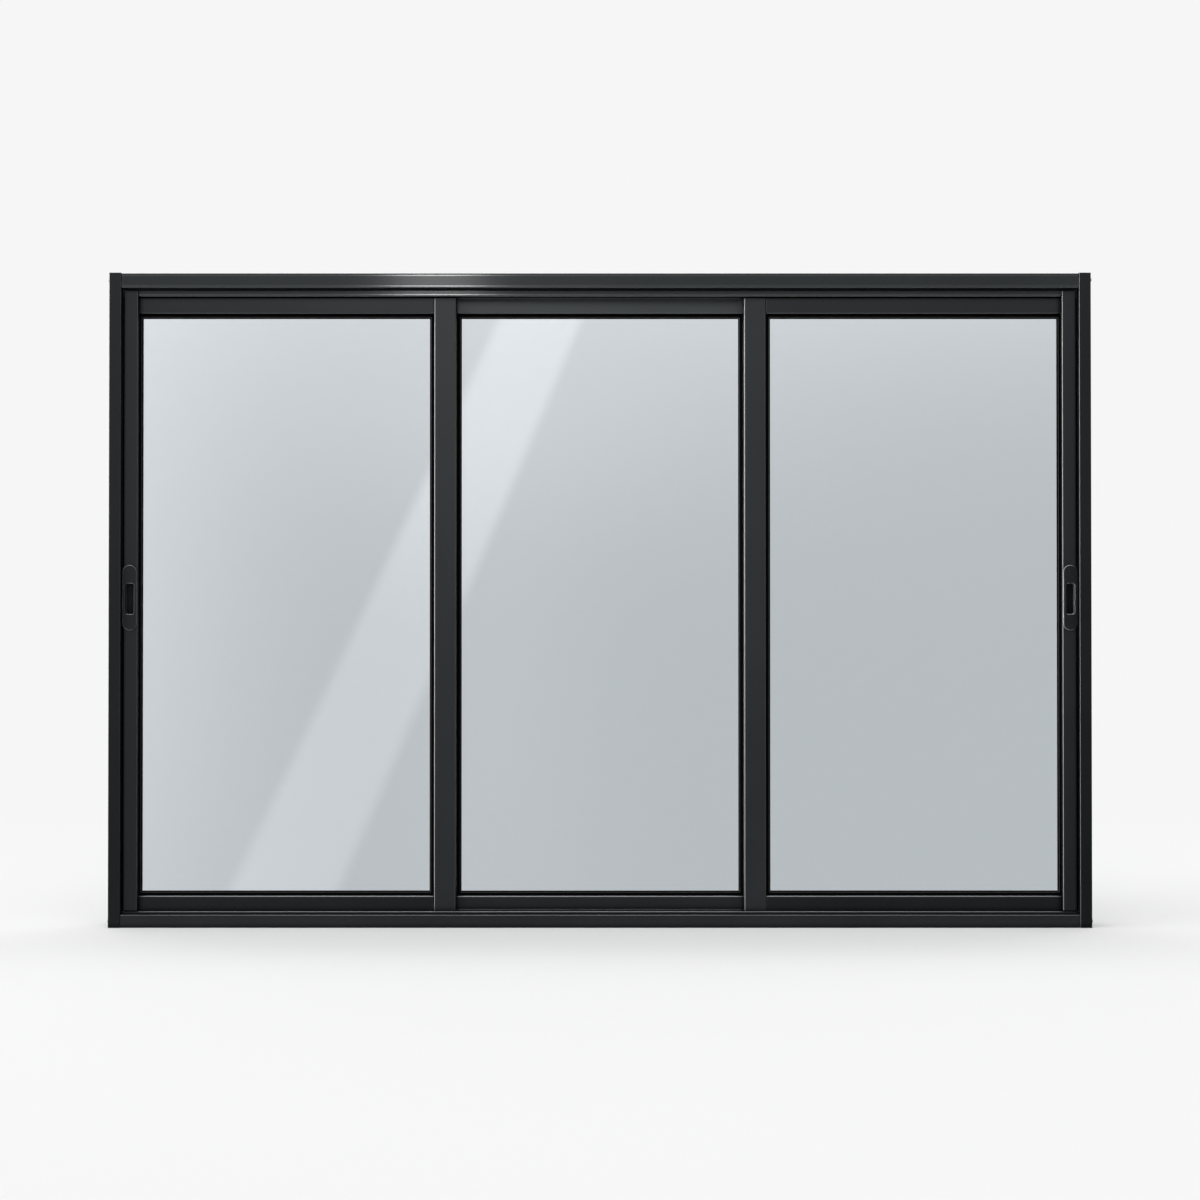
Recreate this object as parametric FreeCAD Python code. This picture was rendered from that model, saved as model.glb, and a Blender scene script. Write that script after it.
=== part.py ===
# Horizontal sliding window with three lights, in aluminium sections.
# The two side sashes slide in the front track, and the centre light is fixed in the rear track.
# Millimetres. X runs along the window, Y from the room side to the outside, and Z up.
# The origin lies under the middle of the frame. Depths run back from the front of the jambs.
import FreeCAD, Part
import math
import os

Vector = FreeCAD.Vector

# Overall size
frame_width = 1800.0
frame_height = 1200.0

# Walls and edges of the aluminium sections
wall = 1.6
web = 2.0
nose_wall = 1.2
arris = 0.8
touching = 0.000001

# Depths that add up to the depth of the frame
face_setback = 1.0
face_box_depth = 9.0
nose_gap = 6.0
nose_depth = 5.6
sash_front_gap = 2.4
sash_depth = 20.0
sash_back_gap = 2.7
fixed_front_gap = 2.7
fixed_back_gap = 3.4

# Frame members, measured in from the outside of the frame
jamb_face = 21.5
head_setdown = 1.0
head_face = 26.7
head_fin = 40.3
head_nose_face = 10.3
sill_face = 23.5
sill_fin = 28.2
sill_nose_face = 7.6
sill_rear = 18.0
nose_radius = 1.5
frame_joint_reveal = 1.2
sash_joint_reveal = 1.0

# Fixing holes through the jambs
fixing_radius = 3.25
fixing_count = 4
fixing_spacing = 300.0

# Drain slots through the sill's fins
weep_count = 4
weep_length = 30.0
weep_height = 5.0
weep_end_distance = 220.0

# Roller track on the sill
track_height = 10.0
track_bead = 3.2
track_bead_radius = 1.4
track_foot = 9.0
track_foot_height = 1.2

# Sash members
sash_lift = 3.0
bottom_rail_height = 40.8
top_rail_gap = 2.1
top_rail_height = 28.6
tongue_height = 25.4
tongue_setback = 4.0
lip = 3.0
lip_radius = 2.4
pocket_depth = 12.0

# Stile at the meeting of a sash and the centre light
interlock_inner = 265.5
interlock_width = 40.0
interlock_proud = 1.0
hook_wall = 1.4
hook_gap = 1.0
hook_leg_inset = 17.9
hook_reach = 4.5
hook_slack = 2.5
hook_rear_gap = 1.8
hook_end_gap = 4.7

# Stile with the pull
handle_stile_width = 38.0
handle_stile_end_gap = 8.0
handle_box_width = 25.5
handle_box_front = 12.0
handle_box_side_gap = 3.5
handle_box_radius = 1.6
handle_tongue_rise = 11.4
handle_foot_gap = 2.3

# Fixed centre light
fixed_packer_height = 4.0
fixed_packer_length = 40.0
fixed_bottom_rail_height = 46.3
fixed_top_rail_height = 61.3

# Glazing
glass_setback = 8.0
glass_thickness = 5.0
glass_bite = 8.0
gasket_web = 2.0
gasket_face = 8.5
gasket_tip = 0.8

# Pull, let into the handle stile
pull_height = 120.0
pull_width = 26.0
pull_thickness = 2.0
pull_side_gap = 2.0
pull_centre_height = 604.0
pull_edge_radius = 0.8
recess_height = 57.0
recess_width = 16.0
recess_drop = 2.0
recess_depth = 10.5
recess_radius = 4.0
recess_edge_radius = 0.6
cup_wall = 1.2
cup_fit = 0.3

# Rollers under the sashes
roller_inset = 60.0
housing_length = 60.0
housing_side_gap = 0.4
housing_cheek = 1.5
housing_roof = 2.0
housing_foot_gap = 1.5
wheel_radius = 11.0
wheel_tread_radius = 9.5
wheel_tread_gap = 0.3
wheel_width = 7.0
wheel_groove_mouth = 4.8
wheel_groove_floor = 3.6
hub_radius = 4.5
hub_width = 12.4
axle_radius = 2.0
axle_fit = 0.3

# Guides on top of the sashes
guide_inset = 50.0
guide_length = 36.0
guide_side_gap = 0.7
guide_drop = 12.0
guide_roof = 4.0

# Stops in the middle of the front track
stop_width = 10.0
stop_side_gap = 0.4
sill_stop_height = 20.0
head_stop_height = 27.0

# Seals
pile_inset = 5.0
pile_width = 5.0
seal_gap = 0.3
jamb_seal_width = 6.0
jamb_seal_gap = 0.5
jamb_seal_radius = 2.5

# Depths worked out from the sizes above
box_back = face_setback + face_box_depth
nose_front = box_back + nose_gap
fin_back = nose_front + nose_depth
fin_front = fin_back - wall
sash_front = fin_back + sash_front_gap
sash_back = sash_front + sash_depth
sash_centre = sash_front + sash_depth / 2
mid_front = sash_back + sash_back_gap
mid_back = mid_front + wall
fixed_front = mid_back + fixed_front_gap
fixed_back = fixed_front + sash_depth
rear_front = fixed_back + fixed_back_gap
frame_depth = rear_front + wall
rear_channel_centre = (mid_back + rear_front) / 2
tongue_front = sash_front + tongue_setback
tongue_back = sash_back - tongue_setback

# Places along X, for the right half
half_width = frame_width / 2
jamb_inner = half_width - jamb_face
interlock_outer = interlock_inner + interlock_width
handle_stile_outer = half_width - web - handle_stile_end_gap
handle_stile_inner = handle_stile_outer - handle_stile_width
handle_box_outer = jamb_inner - handle_box_side_gap
handle_box_inner = handle_box_outer - handle_box_width
pull_centre = jamb_inner - pull_side_gap - pull_width / 2
sash_hook_leg = interlock_inner + hook_leg_inset
sash_hook_tip = sash_hook_leg + hook_wall + hook_reach
fixed_hook_leg = sash_hook_tip + hook_slack
fixed_hook_tip = fixed_hook_leg - hook_reach

# Heights
recess_centre_height = pull_centre_height - recess_drop
head_top = frame_height - head_setdown
head_underside = head_top - web
head_nose_bottom = head_top - head_fin
sash_bottom = web + track_height + sash_lift
sash_top = head_nose_bottom - top_rail_gap
tongue_top = sash_top + tongue_height
bottom_sight = sash_bottom + bottom_rail_height
top_sight = sash_top - top_rail_height
hook_bottom = sill_fin + hook_end_gap
hook_top = head_nose_bottom - hook_end_gap
fixed_bottom = web + fixed_packer_height
fixed_top = head_underside - fixed_packer_height
fixed_bottom_sight = fixed_bottom + fixed_bottom_rail_height
fixed_top_sight = fixed_top - fixed_top_rail_height
track_top = web + track_height
rail_roof = bottom_sight - pocket_depth - wall
axle_height = track_top + wheel_tread_gap + wheel_tread_radius


def at(x, depth, z):
    """Point in the window's frame from a depth behind the front of the jambs."""
    return Vector(x, depth - frame_depth / 2, z)


def block(x_low, x_high, depth_low, depth_high, z_low, z_high):
    """Rectangular solid between two places on each axis."""
    size = (x_high - x_low, depth_high - depth_low, z_high - z_low)
    return Part.makeBox(*size, at(x_low, depth_low, z_low))


def rectangle(a_low, a_high, b_low, b_high):
    """Corners of a rectangular cavity in a section."""
    return [(a_low, b_low), (a_high, b_low), (a_high, b_high), (a_low, b_high)]


def closed_wire(corners):
    """Closed wire through (point, radius) corners, with a tangent arc where a radius is given."""
    edges = []
    ends = []
    for index, (corner, radius) in enumerate(corners):
        if radius == 0:
            ends.append((corner, corner))
            continue
        to_before = (corners[index - 1][0] - corner).normalize()
        to_after = (corners[(index + 1) % len(corners)][0] - corner).normalize()
        half_angle = to_before.getAngle(to_after) / 2
        start = corner + to_before * (radius / math.tan(half_angle))
        end = corner + to_after * (radius / math.tan(half_angle))
        inward = (to_before + to_after).normalize()
        middle = corner + inward * (radius / math.sin(half_angle) - radius)
        edges.append(Part.Arc(start, middle, end).toShape())
        ends.append((start, end))
    for index, (start, end) in enumerate(ends):
        if start.distanceToPoint(ends[index - 1][1]) > touching:
            edges.append(Part.makeLine(ends[index - 1][1], start))
    return Part.Wire(Part.__sortEdges__(edges))


def section(outline, cavities, place, run):
    """Extruded section: place turns a corner (a, b) into a point, run is the extrusion."""
    wires = []
    for loop in [outline] + cavities:
        wires.append(closed_wire([(place(a, b), sum(radius)) for a, b, *radius in loop]))
    return Part.makeFace(wires, "Part::FaceMakerBullseye").extrude(run)


def section_along_x(outline, cavities, x_start, x_end):
    """Section with corners (depth, z[, radius]) that runs along X."""
    return section(outline, cavities, lambda depth, z: at(x_start, depth, z), Vector(x_end - x_start, 0, 0))


def section_along_z(outline, cavities, z_start, z_end):
    """Section with corners (x, depth[, radius]) that runs up Z."""
    return section(outline, cavities, lambda x, depth: at(x, depth, z_start), Vector(0, 0, z_end - z_start))


def mirrored(shape):
    """The same piece on the other half of the window."""
    return shape.mirror(Vector(0, 0, 0), Vector(1, 0, 0))


def channel_outline(front, face, fin, nose_face, rear):
    """Corners (depth, height) of a frame member with a face box, two fins and a rear wall."""
    corners = [(front, 0, arris), (front, face, arris), (box_back, face, arris), (box_back, web)]
    corners += [(fin_front, web)]
    if nose_face > 0:
        corners += [(fin_front, fin - nose_face), (nose_front, fin - nose_face)]
        corners += [(nose_front, fin, nose_radius)]
    else:
        corners += [(fin_front, fin)]
    corners += [(fin_back, fin), (fin_back, web)]
    corners += [(mid_front, web), (mid_front, fin), (mid_back, fin), (mid_back, web)]
    corners += [(rear_front, web), (rear_front, rear), (frame_depth, rear), (frame_depth, 0)]
    return corners


def face_cavity(front, face):
    """Hollow of the face box of a frame member."""
    return rectangle(front + wall, box_back - wall, web, face - wall)


def nose_cavity(fin, nose_face):
    """Hollow of the nose in front of a fin."""
    return rectangle(nose_front + nose_wall, fin_front, fin - nose_face + nose_wall, fin - nose_wall)


def with_joint_reveals(shape, z_low, z_high):
    """Stop the face box of the sill or head short of the jambs, which leaves a dark line at each joint."""
    for x_start in (-jamb_inner, jamb_inner - frame_joint_reveal):
        shape = shape.cut(block(x_start, x_start + frame_joint_reveal, 0, box_back, z_low, z_high))
    return shape


def sill():
    """Sill with drain slots through its middle fin and rear wall."""
    outline = channel_outline(face_setback, sill_face, sill_fin, sill_nose_face, sill_rear)
    cavities = [face_cavity(face_setback, sill_face), nose_cavity(sill_fin, sill_nose_face)]
    shape = section_along_x(outline, cavities, -jamb_inner, jamb_inner)
    shape = with_joint_reveals(shape, 0, sill_face)
    pitch = 2 * (jamb_inner - weep_end_distance) / (weep_count - 1)
    for index in range(weep_count):
        middle = -jamb_inner + weep_end_distance + index * pitch
        slot_start = middle - weep_length / 2
        slot_end = middle + weep_length / 2
        for depth in (mid_front, rear_front):
            shape = shape.cut(block(slot_start, slot_end, depth - wall, depth + 2 * wall, web, web + weep_height))
    return shape


def head():
    """Head, the same channel upside down with a deeper face and fins."""
    outline = channel_outline(face_setback, head_face, head_fin, head_nose_face, head_fin)
    cavities = [face_cavity(face_setback, head_face), nose_cavity(head_fin, head_nose_face)]
    loops = []
    for loop in [outline] + cavities:
        loops.append([(depth, head_top - height, *radius) for depth, height, *radius in loop])
    shape = section_along_x(loops[0], loops[1:], -jamb_inner, jamb_inner)
    return with_joint_reveals(shape, head_top - head_face, head_top)


def right_jamb():
    """Jamb over the full height, with fixing holes through its web behind the middle fin."""
    loops = []
    for loop in [channel_outline(0, jamb_face, jamb_face, 0, jamb_face), face_cavity(0, jamb_face)]:
        loops.append([(half_width - height, depth, *radius) for depth, height, *radius in loop])
    shape = section_along_z(loops[0], loops[1:], 0, frame_height)
    for index in range(fixing_count):
        height = frame_height / 2 + (index - (fixing_count - 1) / 2) * fixing_spacing
        start = at(half_width - 2 * web, rear_channel_centre, height)
        shape = shape.cut(Part.makeCylinder(fixing_radius, 3 * web, start, Vector(1, 0, 0)))
    return shape


def roller_track():
    """Rail with a round bead that the wheels run on."""
    foot_top = web + track_foot_height
    bead = track_bead / 2
    foot = track_foot / 2
    outline = [
        (sash_centre - foot, web), (sash_centre - foot, foot_top), (sash_centre - bead, foot_top),
        (sash_centre - bead, track_top, track_bead_radius), (sash_centre + bead, track_top, track_bead_radius),
        (sash_centre + bead, foot_top), (sash_centre + foot, foot_top), (sash_centre + foot, web),
    ]
    return section_along_x(outline, [], -jamb_inner, jamb_inner)


def stop_block(z_low, z_high):
    """Block across the front track, which both sashes meet in the middle."""
    front = fin_back + stop_side_gap
    back = mid_front - stop_side_gap
    return block(-stop_width / 2, stop_width / 2, front, back, z_low, z_high)


def sill_centre_stop():
    """Stop on the sill, notched over the roller track."""
    shape = stop_block(web, web + sill_stop_height)
    for half_span, top in ((track_foot / 2, web + track_foot_height), (track_bead / 2, track_top)):
        notch_span = half_span + stop_side_gap
        notch_top = top + stop_side_gap
        notch = block(-stop_width, stop_width, sash_centre - notch_span, sash_centre + notch_span, web, notch_top)
        shape = shape.cut(notch)
    return shape


def head_centre_stop():
    """Stop under the head's web."""
    return stop_block(head_underside - head_stop_height, head_underside)


def right_jamb_seal():
    """Bulb seal in the jamb that the handle stile closes on."""
    nose = handle_stile_outer + jamb_seal_gap
    low = sash_centre - jamb_seal_width / 2
    high = sash_centre + jamb_seal_width / 2
    back = half_width - web
    outline = [(nose, low, jamb_seal_radius), (back, low), (back, high), (nose, high, jamb_seal_radius)]
    return section_along_z(outline, [], sash_bottom, sash_top)


def top_rail(x_start, x_end, front, low, high):
    """Rail over a light, with the glazing pocket in its underside."""
    back = front + sash_depth
    floor = low + pocket_depth
    outline = [
        (front, low, lip_radius), (front, high, arris), (back, high, arris), (back, low),
        (back - wall, low), (back - wall, floor), (front + lip, floor), (front + lip, low),
    ]
    cavity = rectangle(front + wall, back - wall, floor + wall, high - wall)
    return section_along_x(outline, [cavity], x_start, x_end)


def sash_rail(outline, cavities, z_low, z_high):
    """Rail between the stiles of a sash, its front wall cut back a little at the interlock stile."""
    shape = section_along_x(outline, cavities, interlock_outer, handle_stile_inner)
    reveal_end = interlock_outer + sash_joint_reveal
    return shape.cut(block(interlock_outer, reveal_end, sash_front, sash_front + wall, z_low, z_high))


def sash_top_rail():
    """Top rail of a sash, with the tongue that runs up between the head's fins."""
    low = top_sight
    floor = low + pocket_depth
    outline = [
        (sash_front, low, lip_radius), (sash_front, sash_top, arris), (tongue_front, sash_top),
        (tongue_front, tongue_top), (tongue_back, tongue_top), (tongue_back, sash_top),
        (sash_back, sash_top, arris), (sash_back, low), (sash_back - wall, low),
        (sash_back - wall, floor), (sash_front + lip, floor), (sash_front + lip, low),
    ]
    body_cavity = rectangle(sash_front + wall, sash_back - wall, floor + wall, sash_top - wall)
    tongue_cavity = rectangle(tongue_front + wall, tongue_back - wall, sash_top, tongue_top - wall)
    return sash_rail(outline, [body_cavity, tongue_cavity], low, sash_top)


def sash_bottom_rail():
    """Bottom rail of a sash, open below for the rollers."""
    floor = bottom_sight - pocket_depth
    outline = [
        (sash_front, sash_bottom), (sash_front, bottom_sight, lip_radius), (sash_front + lip, bottom_sight),
        (sash_front + lip, floor), (sash_back - wall, floor), (sash_back - wall, bottom_sight),
        (sash_back, bottom_sight), (sash_back, sash_bottom), (sash_back - wall, sash_bottom),
        (sash_back - wall, rail_roof), (sash_front + wall, rail_roof), (sash_front + wall, sash_bottom),
    ]
    return sash_rail(outline, [], sash_bottom, bottom_sight)


def notched_top(shape, x_low, x_high, front, back):
    """Cut a sash stile's top down to the tongue that runs between the head's fins."""
    shape = shape.cut(block(x_low, x_high, front, tongue_front, sash_top, tongue_top + wall))
    return shape.cut(block(x_low, x_high, tongue_back, back, sash_top, tongue_top + wall))


def interlock_stile():
    """Inner stile of a sash, with the hook that meets the fixed stile's hook."""
    front = sash_front - interlock_proud
    hook_back = fixed_front - hook_rear_gap
    hook_front = hook_back - hook_wall
    outline = [
        (interlock_inner, front, lip_radius), (interlock_outer, front, lip_radius),
        (interlock_outer, sash_front + lip), (interlock_outer - pocket_depth, sash_front + lip),
        (interlock_outer - pocket_depth, sash_back - wall), (interlock_outer, sash_back - wall),
        (interlock_outer, sash_back), (sash_hook_leg + hook_wall, sash_back),
        (sash_hook_leg + hook_wall, hook_front), (sash_hook_tip, hook_front), (sash_hook_tip, hook_back),
        (sash_hook_leg, hook_back), (sash_hook_leg, sash_back), (interlock_inner, sash_back),
    ]
    tube_outer = interlock_outer - pocket_depth - wall
    cavity = rectangle(interlock_inner + wall, tube_outer, front + wall, sash_back - wall)
    shape = section_along_z(outline, [cavity], sash_bottom, tongue_top)
    x_low = interlock_inner - wall
    x_high = interlock_outer + wall
    shape = notched_top(shape, x_low, x_high, front - wall, fixed_front)
    shape = shape.cut(block(x_low, x_high, sash_back, fixed_front, sash_bottom - wall, hook_bottom))
    return shape.cut(block(x_low, x_high, sash_back, fixed_front, hook_top, tongue_top + wall))


def rounded_slab(x_middle, z_middle, width, height, radius, depth_low, depth_high):
    """Upright slab with round corners, facing the room."""
    left = x_middle - width / 2
    right = x_middle + width / 2
    low = z_middle - height / 2
    high = z_middle + height / 2
    loop = [(left, low, radius), (right, low, radius), (right, high, radius), (left, high, radius)]
    run = Vector(0, depth_high - depth_low, 0)
    return section(loop, [], lambda x, z: at(x, depth_low, z), run)


def handle_stile():
    """Outer stile of a sash, with a box that stands in front of the head and the sill."""
    front = handle_box_front
    inner = handle_stile_inner
    outer = handle_stile_outer
    outline = [
        (handle_box_inner, front, handle_box_radius), (handle_box_outer, front, handle_box_radius),
        (handle_box_outer, sash_front), (outer, sash_front), (outer, sash_back), (inner, sash_back),
        (inner, sash_back - wall), (inner + pocket_depth, sash_back - wall),
        (inner + pocket_depth, sash_front + lip), (inner, sash_front + lip), (inner, sash_front),
        (handle_box_inner, sash_front),
    ]
    box_cavity = rectangle(handle_box_inner + wall, handle_box_outer - wall, front + wall, sash_front - wall)
    tube_inner = inner + pocket_depth + wall
    tube_cavity = rectangle(tube_inner, outer - wall, sash_front + wall, sash_back - wall)
    shape = section_along_z(outline, [box_cavity, tube_cavity], sash_bottom, tongue_top)
    x_low = handle_box_inner - wall
    x_high = outer + wall
    shape = notched_top(shape, x_low, x_high, front + wall, sash_back + wall)
    cover_top = sash_top + handle_tongue_rise
    shape = shape.cut(block(x_low, x_high, front - wall, front + wall, cover_top, tongue_top + wall))
    foot = sill_fin + handle_foot_gap
    shape = shape.cut(block(x_low, x_high, front - wall, sash_front, sash_bottom - wall, foot))
    return shape.cut(cup_slab(cup_fit, front - wall, front + 2 * wall))


def cup_slab(margin, depth_low, depth_high):
    """Outline of the pull's cup grown by a margin."""
    grown = 2 * (cup_wall + margin)
    radius = recess_radius + cup_wall + margin
    width = recess_width + grown
    height = recess_height + grown
    return rounded_slab(pull_centre, recess_centre_height, width, height, radius, depth_low, depth_high)


def front_edges(shape, depth):
    """Edges of a shape that lie in the plane at one depth."""
    plane = at(0, depth, 0).y
    found = []
    for edge in shape.Edges:
        box = edge.BoundBox
        if abs(box.YMin - plane) < touching and abs(box.YMax - plane) < touching:
            found.append(edge)
    return found


def pull_handle():
    """Flush pull: an oblong plate with a cup for the fingers."""
    front = handle_box_front - pull_thickness
    plate = rounded_slab(
        pull_centre, pull_centre_height, pull_width, pull_height, pull_width / 2, front, handle_box_front
    )
    plate = plate.makeFillet(pull_edge_radius, front_edges(plate, front))
    cup = cup_slab(0, handle_box_front, front + recess_depth + cup_wall)
    recess = rounded_slab(
        pull_centre, recess_centre_height, recess_width, recess_height, recess_radius,
        front - recess_edge_radius, front + recess_depth,
    )
    recess = recess.makeFillet(recess_edge_radius, front_edges(recess, front + recess_depth))
    return plate.fuse(cup).cut(recess).removeSplitter()


def roller_places():
    """Middle of each roller along X."""
    return (interlock_outer + roller_inset, handle_stile_inner - roller_inset)


def roller_housing(x_middle):
    """Bracket in the bottom rail with the wheel's axle across it."""
    front = sash_front + wall + housing_side_gap
    back = sash_back - wall - housing_side_gap
    foot = sash_bottom + housing_foot_gap
    roof = rail_roof - housing_roof
    outline = [
        (front, foot), (front, rail_roof), (back, rail_roof), (back, foot), (back - housing_cheek, foot),
        (back - housing_cheek, roof), (front + housing_cheek, roof), (front + housing_cheek, foot),
    ]
    bracket = section_along_x(outline, [], x_middle - housing_length / 2, x_middle + housing_length / 2)
    axle = Part.makeCylinder(axle_radius, back - front, at(x_middle, front, axle_height), Vector(0, 1, 0))
    return bracket.fuse(axle)


def wheel(x_middle):
    """Grooved wheel on its hub, turned about the axle."""
    bore = axle_radius + axle_fit
    profile = [
        (bore, -hub_width / 2), (hub_radius, -hub_width / 2), (hub_radius, -wheel_width / 2),
        (wheel_radius, -wheel_width / 2), (wheel_radius, -wheel_groove_mouth / 2),
        (wheel_tread_radius, -wheel_groove_floor / 2), (wheel_tread_radius, wheel_groove_floor / 2),
        (wheel_radius, wheel_groove_mouth / 2), (wheel_radius, wheel_width / 2),
        (hub_radius, wheel_width / 2), (hub_radius, hub_width / 2), (bore, hub_width / 2),
    ]
    points = [at(x_middle + radius, sash_centre + offset, axle_height) for radius, offset in profile]
    face = Part.Face(Part.makePolygon(points + points[:1]))
    return face.revolve(at(x_middle, sash_centre, axle_height), Vector(0, 1, 0), 360)


def top_guide(x_middle):
    """Saddle on the sash's tongue that fills the head's front channel."""
    front = fin_back + guide_side_gap
    back = mid_front - guide_side_gap
    low = tongue_top - guide_drop
    high = tongue_top + guide_roof
    outline = [
        (front, low), (front, high, arris), (back, high, arris), (back, low), (tongue_back, low),
        (tongue_back, tongue_top), (tongue_front, tongue_top), (tongue_front, low),
    ]
    return section_along_x(outline, [], x_middle - guide_length / 2, x_middle + guide_length / 2)


def top_guides():
    """Two guides near the ends of the top rail."""
    places = (interlock_outer + guide_inset, handle_stile_inner - guide_inset)
    return Part.makeCompound([top_guide(place) for place in places])


def pile_seal():
    """Pile strip behind the interlock stile, brushing the fixed stile."""
    x_low = interlock_inner + pile_inset
    return block(x_low, x_low + pile_width, sash_back, fixed_front - seal_gap, hook_bottom, hook_top)


def pane(x_low, x_high, z_low, z_high, front):
    """Glass that reaches into the pocket all round."""
    glass_front = front + glass_setback
    x_span = (x_low - glass_bite, x_high + glass_bite)
    z_span = (z_low - glass_bite, z_high + glass_bite)
    return block(*x_span, glass_front, glass_front + glass_thickness, *z_span)


def upright_rectangle(x_low, x_high, z_low, z_high, depth):
    """Rectangular wire facing the room."""
    corners = [(x_low, z_low), (x_high, z_low), (x_high, z_high), (x_low, z_high), (x_low, z_low)]
    return Part.makePolygon([at(x, depth, z) for x, z in corners])


def glazing_gasket(x_low, x_high, z_low, z_high, front):
    """Gasket wrapped round the glass edge, sloping from the sight line down to the glass."""
    reach = glass_bite + gasket_web
    pocket_front = front + lip
    pocket_back = front + sash_depth - wall
    glass_front = front + glass_setback
    glass_back = glass_front + glass_thickness
    ring = block(x_low - reach, x_high + reach, pocket_front, pocket_back, z_low - reach, z_high + reach)
    ring = ring.cut(pane(x_low, x_high, z_low, z_high, front))
    clear = (x_low + gasket_face, x_high - gasket_face, z_low + gasket_face, z_high - gasket_face)
    ring = ring.cut(block(*clear[:2], pocket_front, pocket_back, *clear[2:]))
    slopes = ((pocket_front, glass_front - gasket_tip), (pocket_back, glass_back + gasket_tip))
    for mouth, tip in slopes:
        mouth_wire = upright_rectangle(x_low, x_high, z_low, z_high, mouth)
        tip_wire = upright_rectangle(*clear, tip)
        ring = ring.cut(Part.makeLoft([mouth_wire, tip_wire], True, True))
    return ring


def fixed_stile():
    """Stile of the centre light, with the hook that faces the sash's hook."""
    inner = interlock_inner
    outer = interlock_outer
    front = fixed_front
    back = fixed_back
    tip_front = sash_back + hook_gap
    tip_back = tip_front + hook_wall
    leg_outer = fixed_hook_leg + hook_wall
    outline = [
        (inner, front, lip_radius), (fixed_hook_leg, front), (fixed_hook_leg, tip_back),
        (fixed_hook_tip, tip_back), (fixed_hook_tip, tip_front), (leg_outer, tip_front),
        (leg_outer, front), (outer, front, arris), (outer, back, arris), (inner, back),
        (inner, back - wall), (inner + pocket_depth, back - wall),
        (inner + pocket_depth, front + lip), (inner, front + lip),
    ]
    tube_inner = inner + pocket_depth + wall
    cavity = rectangle(tube_inner, outer - wall, front + wall, back - wall)
    shape = section_along_z(outline, [cavity], fixed_bottom, fixed_top)
    x_low = inner - wall
    x_high = outer + wall
    shape = shape.cut(block(x_low, x_high, sash_back, front, fixed_bottom - wall, hook_bottom))
    return shape.cut(block(x_low, x_high, sash_back, front, hook_top, fixed_top + wall))


def fixed_bottom_rail():
    """Bottom rail of the centre light, with the glazing pocket on top."""
    low = fixed_bottom
    high = fixed_bottom_sight
    front = fixed_front
    back = fixed_back
    floor = high - pocket_depth
    outline = [
        (front, low, arris), (front, high, lip_radius), (front + lip, high), (front + lip, floor),
        (back - wall, floor), (back - wall, high), (back, high), (back, low, arris),
    ]
    cavity = rectangle(front + wall, back - wall, low + wall, floor - wall)
    return section_along_x(outline, [cavity], -interlock_inner, interlock_inner)


def fixed_top_rail():
    """Top rail of the centre light."""
    return top_rail(-interlock_inner, interlock_inner, fixed_front, fixed_top_sight, fixed_top)


def fixed_packers():
    """Packers under and over the stiles of the centre light."""
    blocks = []
    for x_high in (interlock_outer, -interlock_outer + fixed_packer_length):
        x_span = (x_high - fixed_packer_length, x_high)
        blocks.append(block(*x_span, fixed_front, fixed_back, web, fixed_bottom))
        blocks.append(block(*x_span, fixed_front, fixed_back, fixed_top, head_underside))
    return Part.makeCompound(blocks)


def frame_nodes():
    """Frame and centre light."""
    fixed_light = (-interlock_inner, interlock_inner, fixed_bottom_sight, fixed_top_sight, fixed_front)
    nodes = {
        "sill": sill(),
        "head": head(),
        "roller_track": roller_track(),
        "sill_centre_stop": sill_centre_stop(),
        "head_centre_stop": head_centre_stop(),
        "fixed_top_rail": fixed_top_rail(),
        "fixed_bottom_rail": fixed_bottom_rail(),
        "fixed_glass": pane(*fixed_light),
        "fixed_gasket": glazing_gasket(*fixed_light),
        "fixed_packers": fixed_packers(),
    }
    sided = {"jamb": right_jamb(), "jamb_seal": right_jamb_seal(), "fixed_stile": fixed_stile()}
    for name, shape in sided.items():
        nodes["right_" + name] = shape
        nodes["left_" + name] = mirrored(shape)
    return nodes


def sash_nodes():
    """Both sashes: the left one mirrors the right one."""
    light = (interlock_outer, handle_stile_inner, bottom_sight, top_sight, sash_front)
    places = roller_places()
    sided = {
        "top_rail": sash_top_rail(),
        "bottom_rail": sash_bottom_rail(),
        "interlock_stile": interlock_stile(),
        "handle_stile": handle_stile(),
        "glass": pane(*light),
        "gasket": glazing_gasket(*light),
        "pull_handle": pull_handle(),
        "roller_housings": Part.makeCompound([roller_housing(place) for place in places]),
        "wheels": Part.makeCompound([wheel(place) for place in places]),
        "top_guides": top_guides(),
        "pile_seal": pile_seal(),
    }
    nodes = {}
    for name, shape in sided.items():
        nodes["right_" + name] = shape
        nodes["left_" + name] = mirrored(shape)
    return nodes


os.makedirs("parts", exist_ok=True)
for node_name, node_shape in {**frame_nodes(), **sash_nodes()}.items():
    node_shape.exportStep("parts/" + node_name + ".step")
    print(node_name, len(node_shape.Solids), round(node_shape.Volume / 1000, 1), node_shape.isValid())
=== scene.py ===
import math

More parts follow.
